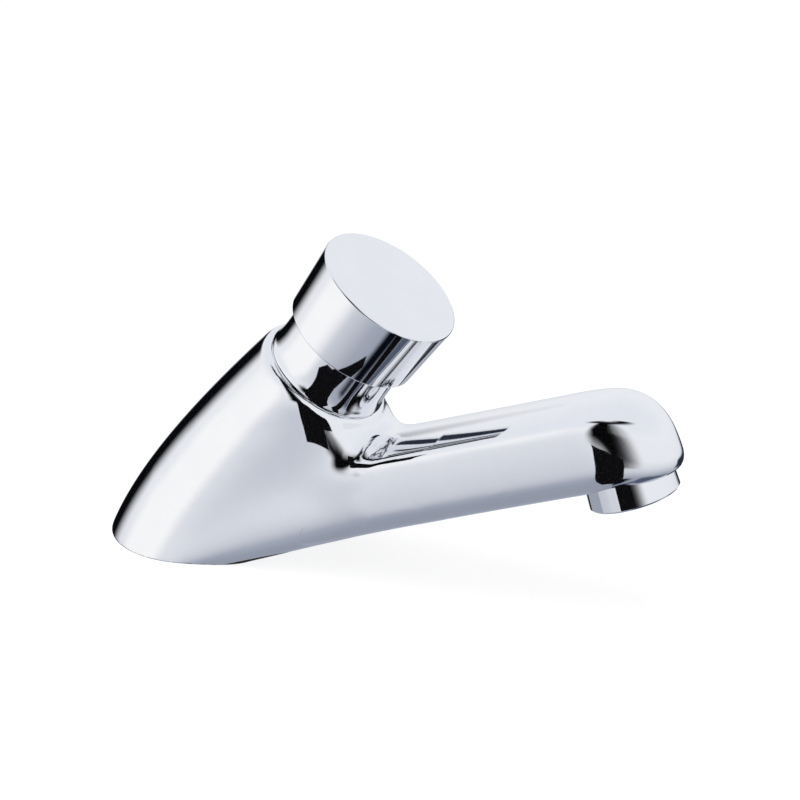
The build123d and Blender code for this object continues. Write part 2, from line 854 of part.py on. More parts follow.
# Least gap between one turn of the wire and the next, measured at points along it
samples = 24
gaps = [
    (spring_point(turn / samples + 1) - spring_point(turn / samples)).length - spring_wire
    for turn in range(round((spring_turns - 1) * samples))
]
print("spring: least gap between turns", round(min(gaps), 2), "mm")

# Aerator, from its chromed housing to the parts it holds
lip_top = aerator_lip_height - aerator_drop
core_radius = aerator_bore_radius - fixed_gap
spacer_low = lip_top + screen_height
upper_screen_low = spacer_low + spacer_height
core_low = upper_screen_low + screen_height
core_roof_low = aerator_thread_length - core_roof
with BuildPart() as aerator_housing:
    with BuildSketch(outlet_section):
        with BuildLine():
            Polyline(
                (aerator_lip_radius, -aerator_drop),
                (aerator_radius - aerator_edge, -aerator_drop),
                (aerator_radius, aerator_edge - aerator_drop),
                (aerator_top_radius, aerator_collar_up - fixed_gap),
                (aerator_thread_radius - thread_gap, aerator_collar_up - fixed_gap),
                (aerator_thread_radius - thread_gap, aerator_thread_length),
                (aerator_bore_radius, aerator_thread_length),
                (aerator_bore_radius, lip_top),
                (aerator_lip_radius, lip_top),
                close=True,
            )
        make_face()
    revolve(axis=outlet_axis)
finished.append((aerator_housing, "aerator_housing"))

with BuildPart() as aerator_washer:
    with BuildSketch(outlet_section):
        with Locations((aerator_washer_inner, aerator_thread_length)):
            washer_width = aerator_thread_radius - fixed_gap - aerator_washer_inner
            Rectangle(washer_width, aerator_washer_height, align=(Align.MIN, Align.MIN))
    revolve(axis=outlet_axis)
finished.append((aerator_washer, "aerator_washer"))


def outlet_plane(up):
    """Plane square to the aerator, at a height above the spout's underside."""
    return Plane(origin=spout_point(outlet_along, up), x_dir=(0, 1, 0), z_dir=spout_normal)


with BuildPart() as aerator_core:
    with BuildSketch(outlet_plane(core_low)):
        Circle(core_radius)
    extrude(amount=aerator_thread_length - core_low)
    with BuildSketch(outlet_plane(core_low)):
        Circle(core_radius - core_wall)
    extrude(amount=core_roof_low - core_low, mode=Mode.SUBTRACT)
    with BuildSketch(outlet_plane(core_roof_low)):
        with PolarLocations(jet_circle, jets):
            Circle(jet_radius)
    extrude(amount=core_roof, mode=Mode.SUBTRACT)
finished.append((aerator_core, "aerator_core"))

with BuildPart() as flow_regulator:
    with BuildSketch(outlet_plane(aerator_thread_length)):
        Circle(regulator_outer)
        Circle(regulator_inner, mode=Mode.SUBTRACT)
    extrude(amount=regulator_height)
finished.append((flow_regulator, "flow_regulator"))

with BuildPart() as screen_spacer:
    with BuildSketch(outlet_plane(spacer_low)):
        Circle(core_radius)
        Circle(core_radius - spacer_wall, mode=Mode.SUBTRACT)
    extrude(amount=spacer_height)
finished.append((screen_spacer, "screen_spacer"))

screen_reach = core_radius - screen_rim - screen_hole / 2
screen_cells = int(core_radius / screen_pitch)
screen_holes = [
    (column * screen_pitch, row * screen_pitch)
    for column in range(-screen_cells, screen_cells + 1)
    for row in range(-screen_cells, screen_cells + 1)
    if sqrt(column * column + row * row) * screen_pitch < screen_reach
]
with BuildPart() as aerator_screens:
    for screen_low in (lip_top, upper_screen_low):
        with BuildSketch(outlet_plane(screen_low)):
            Circle(core_radius)
            with Locations(*screen_holes):
                Rectangle(screen_hole, screen_hole, mode=Mode.SUBTRACT)
        extrude(amount=screen_height)
finished.append((aerator_screens, "aerator_screens"))

os.makedirs("parts", exist_ok=True)
for piece, name in finished:
    piece.part.label = name
    export_step(piece.part, f"parts/{name}.step")
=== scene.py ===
from math import asin, atan2, cos, hypot, pi, radians, sin, sqrt, tau

import bmesh
import bpy
from mathutils import Matrix, Vector
from mathutils.bvhtree import BVHTree


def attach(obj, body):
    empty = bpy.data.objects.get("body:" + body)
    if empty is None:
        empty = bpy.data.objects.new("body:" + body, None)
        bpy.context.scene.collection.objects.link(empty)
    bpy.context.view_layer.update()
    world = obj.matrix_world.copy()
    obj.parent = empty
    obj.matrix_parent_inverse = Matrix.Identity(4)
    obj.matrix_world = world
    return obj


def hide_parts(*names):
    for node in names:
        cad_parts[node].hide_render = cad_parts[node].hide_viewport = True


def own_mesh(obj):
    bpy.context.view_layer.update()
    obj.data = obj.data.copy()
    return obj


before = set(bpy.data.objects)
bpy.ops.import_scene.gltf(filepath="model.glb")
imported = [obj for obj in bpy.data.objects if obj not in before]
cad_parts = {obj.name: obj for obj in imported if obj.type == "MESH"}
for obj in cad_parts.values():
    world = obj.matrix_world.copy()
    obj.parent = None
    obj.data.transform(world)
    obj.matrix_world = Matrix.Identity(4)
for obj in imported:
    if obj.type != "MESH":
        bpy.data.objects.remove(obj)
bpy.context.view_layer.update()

MM = 0.001
ORIGIN = Vector((0, 0, 0))
# In metres: how near points lie in one plane, and how near they are one point
PLANE_TOLERANCE = 1e-6
POINT_TOLERANCE = 1e-7

# Lines of the tap, in millimetres and degrees, as in the solid model
BARREL_TILT = 35.5
SPOUT_SLOPE = 19.8
STEM = Vector((sin(radians(BARREL_TILT)), 0, cos(radians(BARREL_TILT))))
STEM_FRONT = Vector((cos(radians(BARREL_TILT)), 0, -sin(radians(BARREL_TILT))))
SPOUT = Vector((cos(radians(SPOUT_SLOPE)), 0, sin(radians(SPOUT_SLOPE))))
SPOUT_UP = Vector((-sin(radians(SPOUT_SLOPE)), 0, cos(radians(SPOUT_SLOPE))))


def linear(colour):
    """sRGB hex to linear RGBA."""
    parts = [int(colour[place:place + 2], 16) / 255 for place in (1, 3, 5)]
    return (*[part / 12.92 if part <= 0.04045 else ((part + 0.055) / 1.055) ** 2.4 for part in parts], 1)


def add_node(tree, kind, settings=None, **links):
    """Adds a node. Settings are its properties. Links are its inputs, by name or by number as in i0, and each
    is a value or another node's output.
    """
    node = tree.nodes.new(kind)
    for name, value in (settings or {}).items():
        setattr(node, name, value)
    for name, value in links.items():
        key = int(name[1:]) if name[0] == "i" and name[1:].isdigit() else name.replace("_", " ")
        socket = node.inputs[key]
        if isinstance(value, bpy.types.NodeSocket):
            tree.links.new(value, socket)
        else:
            socket.default_value = value
    return node


def placed(name, shape):
    """An object of the scene with this shape."""
    mesh = bpy.data.meshes.new(name)
    shape.to_mesh(mesh)
    shape.free()
    piece = bpy.data.objects.new(name, mesh)
    bpy.context.scene.collection.objects.link(piece)
    return piece


# Finishes: widths of their patterns in millimetres, and how much a tool's marks count beside the stains

HAZE_WIDTH = 9
STAIN_WIDTH = 5
FLOW_WIDTH = 4
MARK_SHARE = 0.4


def new_finish(name):
    """An empty material and its node tree."""
    material = bpy.data.materials.new(name)
    material.use_nodes = True
    material.node_tree.nodes.clear()
    return material, material.node_tree


def bright_chrome():
    """Bright chromium plate on polished brass: a cool near mirror, with the faint haze of handling."""
    material, tree = new_finish("bright_chrome_plate")
    place = add_node(tree, "ShaderNodeTexCoord").outputs["Object"]
    haze = add_node(tree, "ShaderNodeTexNoise", Vector=place, Scale=1 / (HAZE_WIDTH * MM),
                    Detail=3.0).outputs["Fac"]
    tint = add_node(tree, "ShaderNodeMix", {"data_type": "RGBA"}, i0=haze, i6=linear("#F1F2F5"),
                    i7=linear("#F8F8FA")).outputs[2]
    polish = add_node(tree, "ShaderNodeMapRange", Value=haze, To_Min=0.035, To_Max=0.06).outputs[0]
    shader = add_node(tree, "ShaderNodeBsdfPrincipled", Base_Color=tint, Roughness=polish, Metallic=1.0)
    add_node(tree, "ShaderNodeOutputMaterial", Surface=shader.outputs[0])
    return material


def worked_metal(name, shades, polish, mark, run, depth, lean=0.0):
    """A bare metal with the marks of its making.

    shades: darker and lighter colour. polish: lowest and highest roughness. mark: width of a mark in
    millimetres. run: how many times longer a mark is along each axis. depth: its depth in millimetres.
    lean: degrees that the marks' axis leans forward.
    """
    material, tree = new_finish(name)
    place = add_node(tree, "ShaderNodeTexCoord").outputs["Object"]
    along = add_node(tree, "ShaderNodeMapping", {"vector_type": "TEXTURE"}, Vector=place,
                     Rotation=(0, radians(lean), 0), Scale=run).outputs[0]
    marks = add_node(tree, "ShaderNodeTexNoise", Vector=along, Scale=1 / (mark * MM),
                     Detail=2.0).outputs["Fac"]
    stain = add_node(tree, "ShaderNodeTexNoise", Vector=place, Scale=1 / (STAIN_WIDTH * MM),
                     Detail=3.0).outputs["Fac"]
    both = add_node(tree, "ShaderNodeMath", {"operation": "MULTIPLY_ADD"}, i0=marks, i1=MARK_SHARE,
                    i2=stain).outputs[0]
    blend = add_node(tree, "ShaderNodeMapRange", Value=both, From_Min=0.4, From_Max=1.0).outputs[0]
    tint = add_node(tree, "ShaderNodeMix", {"data_type": "RGBA"}, i0=blend, i6=linear(shades[0]),
                    i7=linear(shades[1])).outputs[2]
    gloss = add_node(tree, "ShaderNodeMapRange", Value=blend, To_Min=polish[1], To_Max=polish[0]).outputs[0]
    relief = add_node(tree, "ShaderNodeBump", Height=marks, Distance=depth * MM, Strength=1.0).outputs[0]
    shader = add_node(tree, "ShaderNodeBsdfPrincipled", Base_Color=tint, Roughness=gloss, Normal=relief,
                      Metallic=1.0)
    add_node(tree, "ShaderNodeOutputMaterial", Surface=shader.outputs[0])
    return material


def moulded(name, shades, polish, pit, depth, ior, soft=0.0):
    """A moulded plastic or rubber.

    shades and polish: as for metal. pit: width of the mould's fine texture in millimetres. depth: its depth
    in millimetres. soft: strength of the sheen that a rubber has at its edges.
    """
    material, tree = new_finish(name)
    place = add_node(tree, "ShaderNodeTexCoord").outputs["Object"]
    skin = add_node(tree, "ShaderNodeTexNoise", Vector=place, Scale=1 / (pit * MM), Detail=2.0).outputs["Fac"]
    flow = add_node(tree, "ShaderNodeTexNoise", Vector=place, Scale=1 / (FLOW_WIDTH * MM), Detail=3.0,
                    Distortion=0.6).outputs["Fac"]
    tint = add_node(tree, "ShaderNodeMix", {"data_type": "RGBA"}, i0=flow, i6=linear(shades[0]),
                    i7=linear(shades[1])).outputs[2]
    gloss = add_node(tree, "ShaderNodeMapRange", Value=flow, To_Min=polish[0], To_Max=polish[1]).outputs[0]
    relief = add_node(tree, "ShaderNodeBump", Height=skin, Distance=depth * MM, Strength=1.0).outputs[0]
    shader = add_node(tree, "ShaderNodeBsdfPrincipled", Base_Color=tint, Roughness=gloss, Normal=relief,
                      IOR=ior, Sheen_Weight=soft)
    add_node(tree, "ShaderNodeOutputMaterial", Surface=shader.outputs[0])
    return material


# Chromium plate shows the room more than itself: hardly any colour, and reflections tell its shape
CHROME = bright_chrome()
# Turned brass is warm and bright, with fine rings left by the tool all round the axis
TURNED_BRASS = worked_metal("turned_brass", ("#B78F48", "#DDBE79"), polish=(0.16, 0.34), mark=0.25,
                            run=(60, 60, 1), depth=0.006)
# Valve parts of turned brass stand on the leaning stem, so their rings lean too
VALVE_BRASS = worked_metal("turned_valve_brass", ("#B4904F", "#DBBD7C"), polish=(0.16, 0.34), mark=0.25,
                           run=(60, 60, 1), depth=0.006, lean=BARREL_TILT)
# Hexagon bar is drawn through a die, so its flats are duller, with long straight scratches
DRAWN_BRASS = worked_metal("drawn_hexagon_brass", ("#A98544", "#CFAE69"), polish=(0.24, 0.44), mark=0.3,
                           run=(1, 1, 30), depth=0.01)
# Stamped sheet keeps the mill's grey, satin grain in one direction
STAMPED_STEEL = worked_metal("stamped_stainless_steel", ("#94989B", "#BCC0C2"), polish=(0.28, 0.46),
                             mark=0.25, run=(40, 1, 1), depth=0.008)
# Turned steel is cooler and brighter than brass, with rings round the stem
TURNED_STEEL = worked_metal("turned_stainless_steel", ("#9DA1A4", "#CBCED0"), polish=(0.18, 0.34),
                            mark=0.25, run=(60, 60, 1), depth=0.005, lean=BARREL_TILT)
# Ground rod is the smoothest bare metal here: long faint lines and an almost mirror shine
GROUND_STEEL = worked_metal("ground_stainless_rod", ("#AEB2B5", "#D6D8DA"), polish=(0.10, 0.22), mark=0.3,
                            run=(1, 1, 40), depth=0.003, lean=BARREL_TILT)
# Spring wire comes grey and slightly dull from the drawing die, with short scratches round it
SPRING_STEEL = worked_metal("drawn_spring_wire", ("#85898C", "#B4B7BA"), polish=(0.24, 0.42), mark=0.35,
                            run=(3, 3, 1), depth=0.01, lean=BARREL_TILT)
# Moulded rubber is a soft charcoal black that scatters what light it returns
GASKET_RUBBER = moulded("moulded_gasket_rubber", ("#1A1A1B", "#2B2B2D"), polish=(0.55, 0.75), pit=0.4,
                        depth=0.02, ior=1.52, soft=0.15)
# O-rings are deflashed and greased, so they are blacker and shinier
RING_RUBBER = moulded("greased_ring_rubber", ("#121213", "#1D1D1F"), polish=(0.28, 0.42), pit=0.5,
                      depth=0.008, ior=1.52, soft=0.05)
# Acetal is a waxy milk white with a slight gleam
ACETAL = moulded("moulded_acetal", ("#DDDBD3", "#EEEDE8"), polish=(0.30, 0.42), pit=0.35, depth=0.006,
                 ior=1.48)

FINISHES = (
    (CHROME, ("body", "bonnet", "push_button", "aerator_housing")),
    (TURNED_BRASS, ("shank",)),
    (VALVE_BRASS, ("valve_seat", "cartridge_sleeve", "piston", "valve_disc")),
    (DRAWN_BRASS, ("back_nut",)),
    (STAMPED_STEEL, ("clamp_washer", "spring_plate", "piston_clip", "inlet_strainer", "aerator_screens")),
    (TURNED_STEEL, ("button_lock_nut", "valve_nut")),
    (GROUND_STEEL, ("push_rod", "timing_pin")),
    (SPRING_STEEL, ("return_spring",)),
    (GASKET_RUBBER, ("base_gasket", "deck_washer", "seat_gasket", "valve_washer", "piston_cup",
                     "aerator_washer", "flow_regulator")),
    (RING_RUBBER, ("shank_o_ring", "bonnet_o_ring", "cartridge_o_rings", "rod_seal")),
    (ACETAL, ("cartridge_cap", "flow_limiter", "aerator_core", "screen_spacer")),
)
for finish, names in FINISHES:
    for name in names:
        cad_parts[name].data.materials.clear()
        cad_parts[name].data.materials.append(finish)

# Cast body: the outside of barrel, web and spout as one polished skin

# Barrel: its middle bows forward from the foot into the lean of the stem
FOOT_RADIUS = 26.8
SHOULDER_RADIUS = 18.9
SHOULDER_ROUNDING = 1.5
BARREL_LENGTH = 65.0
BARREL_BULGE = 0.3
STEM_FOOT_X = 2.0
LEAN_X = 7.6
LEAN_Z = 16.5
BARREL_RINGS = 34
RING_POINTS = 96
BELOW_DECK = 12.0
BELOW_DECK_RINGS = 4

# Spout: a straight run with convex sides, soft creases and a low crown, and a nose that is oval in plan
SPOUT_ROOT_X = 19.9
SPOUT_FROM = -8.0
SPOUT_STEP = 2.5
CREST = 22.7
CROWN = 3.3
CREST_FALL = 0.3
CREST_FALL_FROM = 104.0
NOSE_CENTRE = 109.2
NOSE_REACH = 19.3
NOSE_HALF_WIDTH = 14.2
NOSE_SLICES = 48
HALF_WIDTHS = (
    # place along the spout, half of its width there
    (SPOUT_FROM, 23.3), (0, 22.0), (11.5, 20.2), (22, 18.45), (31.5, 16.9), (40, 16.0), (48, 15.5),
    (60, 15.1), (80, 14.5), (NOSE_CENTRE, NOSE_HALF_WIDTH),
)
TIP_PROFILE = (
    # share of the way up the section, reach from the nose's centre, height above the underside line
    (0, 19.2, -1.2), (0.34, NOSE_REACH, 3.7), (0.45, 18.6, 9.4), (0.57, 16.2, 14.4), (0.70, 11.6, 18.4),
    (0.82, 6.9, 20.8), (1, 0.0, 22.4),
)
SIDE_BULGE = 0.6
CREASE_ROUNDING = 3.0
SIDE_STEPS = 12
CREASE_STEPS = 10
CROWN_STEPS = 10

# Lower edge: rolled under, softly along the run, tighter at the tip and beside the barrel
UNDERSIDE_DROP = 1.2
UNDERSIDE_ROUNDING = 8.0
TIP_ROUNDING = 3.5
ROOT_ROUNDING = 6.5
ROLL_FROM = 14.0
ROLL_FULL = 48.0

# Web and flanks: what fills the corner between the barrel and the spout
WEB_ALONG = 35.5
WEB_LOW = 16.5
WEB_HIGH = 41.0
WEB_LOW_HALF_WIDTH = 16.0
WEB_LOW_REACH = 15.5
FLANK_RINGS = 24
FLANK_TOP = 0.96
FLANK_FRONT_WIDTH = 16.4
FLANK_INSET = 0.15

# Polish: how far each transition is evened out
SKIN_VOXEL = 0.6
VALLEY_WIDTH = 4.5
VALLEY_FILL = VALLEY_WIDTH / 4
VALLEY_EDGE = 1.0
VALLEY_PASSES = 14
FLANK_PART = ((-19, 44), (12, 27), (-2, 41))
FLANK_FADE = 5.0
FLANK_PASSES = 120
RIM_POLISH = 4.0
RIM_PASSES = 10
NECK_SEAT = 16.6
POLISH_PASSES = 4


def stem_point(up):
    """Point on the leaning axis of barrel and button."""
    return Vector((STEM_FOOT_X, 0, 0)) + STEM * up


def spout_point(along, across, up):
    """Point by its place along, across and above the spout's straight underside."""
    return Vector((SPOUT_ROOT_X, across, 0)) + SPOUT * along + SPOUT_UP * up


def follow(table, place):
    """Values of a table of rows (place, values...) at a place, on a smooth curve through the rows."""
    last = len(table) - 1
    low = max([0] + [index for index in range(last) if table[index][0] <= place])
    span = table[low + 1][0] - table[low][0]
    t = min(1, max(0, (place - table[low][0]) / span))

    def rise(index, item):
        before, after = table[max(0, index - 1)], table[min(last, index + 1)]
        return (after[item] - before[item]) / (after[0] - before[0]) * span

    return [
        (2 * t ** 3 - 3 * t ** 2 + 1) * table[low][item] + (t ** 3 - 2 * t ** 2 + t) * rise(low, item)
        + (3 * t ** 2 - 2 * t ** 3) * table[low + 1][item] + (t ** 3 - t ** 2) * rise(low + 1, item)
        for item in range(1, len(table[0]))
    ]


def half_section(half_width, crest):
    """Right side of a spout section as points (across, up), from the underside's corner to the crest."""
    crown_radius = (CROWN ** 2 + half_width ** 2) / (2 * CROWN)
    crown_centre = crest - crown_radius
    corner_across = half_width - CREASE_ROUNDING
    corner_up = crown_centre + sqrt((crown_radius - CREASE_ROUNDING) ** 2 - corner_across ** 2)
    corner_turn = atan2(corner_up - crown_centre, corner_across)
    points = []
    for step in range(SIDE_STEPS):
        share = step / SIDE_STEPS
        bulge = SIDE_BULGE * 4 * share * (1 - share)
        points.append((half_width + bulge, -UNDERSIDE_DROP + (corner_up + UNDERSIDE_DROP) * share))
    for step in range(CREASE_STEPS + 1):
        turn = corner_turn * step / CREASE_STEPS
        points.append((corner_across + CREASE_ROUNDING * cos(turn), corner_up + CREASE_ROUNDING * sin(turn)))
    crown_from = points[-1][0]
    for step in range(1, CROWN_STEPS + 1):
        across = crown_from * (1 - step / CROWN_STEPS)
        points.append((across, crown_centre + sqrt(crown_radius ** 2 - across ** 2)))
    return points


def add_ring(shape, points):
    """One closed ring of edges through points in millimetres."""
    ring = bmesh.ops.create_circle(shape, segments=len(points), radius=MM)["verts"]
    for vert, point in zip(ring, points):
        vert.co = point * MM
    return ring


def ring_edges(ring):
    """The edges of a ring of verts."""
    members = set(ring)
    touching = {edge for vert in ring for edge in vert.link_edges}
    return [edge for edge in touching if set(edge.verts) <= members]


def skin_rings(rings_of_points):
    """A closed skin over rings of equal numbers of points, capped at both ends."""
    shape = bmesh.new()
    rings = [add_ring(shape, points) for points in rings_of_points]
    loops = [ring_edges(ring) for ring in rings]
    for first, second in zip(loops, loops[1:]):
        bmesh.ops.bridge_loops(shape, edges=first + second)
    for ring in (rings[0], rings[-1]):
        bmesh.ops.contextual_create(shape, geom=ring)
    bmesh.ops.recalc_face_normals(shape, faces=shape.faces)
    return shape


def run_skin():
    """Straight run of the spout, with convex sides and a crowned top."""
    slices = []
    stations = round((NOSE_CENTRE - SPOUT_FROM) / SPOUT_STEP)
    for station in range(stations + 1):
        along = SPOUT_FROM + (NOSE_CENTRE - SPOUT_FROM) * station / stations
        fall = CREST_FALL * (max(0, along - CREST_FALL_FROM) / (NOSE_CENTRE - CREST_FALL_FROM)) ** 2
        half = half_section(follow(HALF_WIDTHS, along)[0], CREST - fall)
        whole = half + [(-across, up) for across, up in half[-2::-1]]
        slices.append([spout_point(along, across, up) for across, up in whole])
    return skin_rings(slices)


def nose_skin():
    """Rounded nose: rings from the underside up to the crown, oval in plan."""
    half = half_section(NOSE_HALF_WIDTH, CREST - CREST_FALL)
    rings = []
    for index, (across, up) in enumerate(half[:-1]):
        reach, tip_up = follow(TIP_PROFILE, index / (len(half) - 1))
        ring = [spout_point(NOSE_CENTRE - SPOUT_STEP, -across, up)]
        for step in range(NOSE_SLICES + 1):
            turn = pi * step / NOSE_SLICES - pi / 2
            height = up + (tip_up - up) * cos(turn) ** 2
            ring.append(spout_point(NOSE_CENTRE + reach * cos(turn), across * sin(turn), height))
        ring.append(spout_point(NOSE_CENTRE - SPOUT_STEP, across, up))
        rings.append(ring)
    return skin_rings(rings)


def barrel_station(t):
    """Centre, radius and lean in degrees of the barrel, from the foot at 0 to the shoulder at 1."""
    shoulder = stem_point(BARREL_LENGTH)
    bow = 2 * t * (1 - t)
    centre = Vector((bow * LEAN_X + t * t * shoulder.x, 0, bow * LEAN_Z + t * t * shoulder.z))
    radius = FOOT_RADIUS + (SHOULDER_RADIUS - FOOT_RADIUS) * t + 4 * BARREL_BULGE * t * (1 - t)
    return centre, radius, BARREL_TILT * t


def barrel_skin():
    """Round rings that lean over from below the deck to the shoulder, whose rim is rounded."""
    turns = [tau * step / RING_POINTS for step in range(RING_POINTS)]
    rings = []
    for station in range(-BELOW_DECK_RINGS, BARREL_RINGS + 1):
        centre, radius, lean = barrel_station(max(0, station / BARREL_RINGS))
        centre.z += min(0, station) * BELOW_DECK / BELOW_DECK_RINGS
        out = Vector((cos(radians(lean)), 0, -sin(radians(lean))))
        rings.append([centre + out * radius * cos(turn) + Vector((0, radius * sin(turn), 0))
                      for turn in turns])
    shape = skin_rings(rings)
    top = stem_point(BARREL_LENGTH) * MM
    rim = [edge for edge in shape.edges
           if all(abs((vert.co - top).dot(STEM)) < PLANE_TOLERANCE for vert in edge.verts)]
    bmesh.ops.bevel(shape, geom=rim, offset=SHOULDER_ROUNDING * MM, segments=6, profile=0.5, affect="EDGES",
                    material=-1)
    return shape


def web_skin():
    """The front of the shoulder, carried down and slightly drawn in, into the spout's crown."""
    top = stem_point(BARREL_LENGTH - SHOULDER_ROUNDING)
    upper, lower = [], []
    for step in range(RING_POINTS):
        turn = tau * step / RING_POINTS
        point = top + STEM_FRONT * SHOULDER_RADIUS * cos(turn)
        upper.append(point + Vector((0, SHOULDER_RADIUS * sin(turn), 0)))
        along = WEB_ALONG + WEB_LOW_REACH * cos(turn)
        lower.append(spout_point(along, WEB_LOW_HALF_WIDTH * sin(turn), WEB_LOW))
    return skin_rings([upper, lower])


def flank_ring(station):
    """One level of the flanks: its rear and front on the middle plane, and their half widths."""
    root = spout_point(0, 0, 0)
    centre, radius, lean = barrel_station(FLANK_TOP * max(0, station) / FLANK_RINGS)
    sunk = (barrel_station(0)[0] - root).dot(SPOUT_UP) + UNDERSIDE_DROP
    centre += SPOUT_UP * sunk * min(0, station)
    up = (centre - root).dot(SPOUT_UP)
    share = min(1, max(0, (up - WEB_LOW) / (WEB_HIGH - WEB_LOW)))
    narrow = WEB_LOW_HALF_WIDTH + (SHOULDER_RADIUS - FLANK_INSET - WEB_LOW_HALF_WIDTH) * share
    if up < WEB_LOW:
        low = max(0, up) / WEB_LOW
        narrow = max(narrow, FLANK_FRONT_WIDTH + SIDE_BULGE * 4 * low * (1 - low) * (1 - low ** 4))
    front = spout_point(WEB_ALONG, 0, up)
    squeeze = cos(radians(lean + SPOUT_SLOPE))
    reach = (front - centre).dot(SPOUT) * squeeze
    wide = radius - FLANK_INSET
    # the flank leaves the barrel's round where it touches it, so no edge shows there
    turn = max(0, asin(min(1, wide / hypot(reach, narrow))) - atan2(narrow, reach))
    return centre + SPOUT * wide * sin(turn) / squeeze, front, wide * cos(turn), narrow


def flank_skin():
    """Straight flanks that run off the barrel's round towards the web and the spout's sides."""
    rings = []
    for station in range(-1, FLANK_RINGS + 1):
        rear, front, wide, narrow = flank_ring(station)
        rear_side, front_side = Vector((0, wide, 0)), Vector((0, narrow, 0))
        rings.append([rear + rear_side, front + front_side, front - front_side, rear - rear_side])
    return skin_rings(rings)


def joined(name, *shapes):
    """One object from several shapes."""
    whole = bmesh.new()
    for shape in shapes:
        part = bpy.data.meshes.new(name + "_part")
        shape.to_mesh(part)
        whole.from_mesh(part)
        bpy.data.meshes.remove(part)
    return placed(name, whole)


def merged(piece):
    """Makes one closed skin of a piece whose shapes run into each other."""
    remesh = piece.modifiers.new("merge", "REMESH")
    remesh.mode = "VOXEL"
    remesh.voxel_size = SKIN_VOXEL * MM
    bpy.context.view_layer.update()
    evaluated = piece.evaluated_get(bpy.context.evaluated_depsgraph_get())
    mesh = bpy.data.meshes.new_from_object(evaluated)
    piece.modifiers.clear()
    piece.data = mesh
    mesh.name = piece.name


def round_underside(shape):
    """Rolls the lower edge of run and nose over to a soft radius, less so close to the barrel."""
    centre = spout_point(NOSE_CENTRE, 0, 0)
    rear, _, wide, narrow = flank_ring(-1)
    flank_from = (rear - centre).dot(SPOUT)
    flank_to = WEB_ALONG - NOSE_CENTRE
    for vert in shape.verts:
        place = vert.co / MM - centre
        along, up = place.dot(SPOUT), place.dot(SPOUT_UP) + UNDERSIDE_DROP
        if up > UNDERSIDE_ROUNDING or along < flank_from:
            continue
        # outward from the middle line of the run, or from the nose's centre
        away = Vector((max(0, along), place.y))
        tip = (away.x / max(away.length, 1)) ** 2
        if along > 0:
            edge = away.length / max(0.01, sqrt((away.x / NOSE_REACH) ** 2 + (away.y / NOSE_HALF_WIDTH) ** 2))
        elif along > flank_to:
            edge = follow(HALF_WIDTHS, along + NOSE_CENTRE)[0]
        else:
            edge = wide + (narrow - wide) * (along - flank_from) / (flank_to - flank_from)
        rolled = min(1, max(0, (along + NOSE_CENTRE - ROLL_FROM) / (ROLL_FULL - ROLL_FROM)))
        full = UNDERSIDE_ROUNDING + (TIP_ROUNDING - UNDERSIDE_ROUNDING) * tip
        rounding = ROOT_ROUNDING + (full - ROOT_ROUNDING) * rolled
        inward = away.length - (edge + SIDE_BULGE * rolled * (1 - tip) - rounding)
        reach = sqrt(max(0, inward) ** 2 + max(0, rounding - up) ** 2)
        if inward > 0 and up < rounding < reach:
            rise = (rounding - up) * (1 - rounding / reach)
            tuck = away.normalized() * inward * (1 - rounding / reach)
            vert.co += (SPOUT_UP * rise - SPOUT * tuck.x - Vector((0, tuck.y, 0))) * MM


def soften(shape, verts, passes):
    """Evens a skin out, a little at each pass."""
    for step in range(passes):
        bmesh.ops.smooth_vert(shape, verts=verts, factor=0.5, use_axis_x=True, use_axis_y=True,
                              use_axis_z=True)


def fill_valley(shape, spout_tree, web_tree):
    """Fills the valley where the web runs into the spout's crown."""
    shape.normal_update()
    moves = {}
    for vert in shape.verts:
        to_spout, to_web = [tree.find_nearest(vert.co)[3] / MM for tree in (spout_tree, web_tree)]
        apart = max(to_spout, to_web)
        if min(to_spout, to_web) < VALLEY_EDGE and apart < VALLEY_WIDTH:
            moves[vert] = vert.normal * (1 - apart / VALLEY_WIDTH) ** 2 * VALLEY_FILL * MM
    for vert, move in moves.items():
        vert.co += move
    soften(shape, list(moves), VALLEY_PASSES)


def soften_flanks(shape):
    """Evens out the lines where barrel, flank and spout meet, most in the middle of the flank."""
    root = spout_point(0, 0, 0)
    depths = {}
    for vert in shape.verts:
        place = vert.co / MM - root
        spots = (place.dot(SPOUT), abs(place.y), place.dot(SPOUT_UP))
        depth = min(min(spot - low, high - spot) for spot, (low, high) in zip(spots, FLANK_PART))
        if depth > 0:
            depths[vert] = min(1, depth / FLANK_FADE)
    for step in range(FLANK_PASSES):
        chosen = [vert for vert, depth in depths.items() if depth > step / FLANK_PASSES]
        soften(shape, chosen, 1)


def soften_rim(shape):
    """Evens out the shoulder around the neck's seat."""
    rim_foot, stem_foot = stem_point(BARREL_LENGTH - RIM_POLISH), stem_point(0)
    rim = [vert for vert in shape.verts
           if (vert.co / MM - rim_foot).dot(STEM) > 0
           and (vert.co / MM - stem_foot).cross(STEM).length > NECK_SEAT]
    soften(shape, rim, RIM_PASSES)


def cut_foot(shape):
    """Cuts the skin flat at the deck and closes it."""
    cut = bmesh.ops.bisect_plane(shape, geom=shape.verts[:] + shape.edges[:] + shape.faces[:],
                                 plane_co=ORIGIN, plane_no=(0, 0, 1), clear_inner=True,
                                 dist=PLANE_TOLERANCE)["geom_cut"]
    bmesh.ops.contextual_create(shape, geom=[part for part in cut if isinstance(part, bmesh.types.BMEdge)])


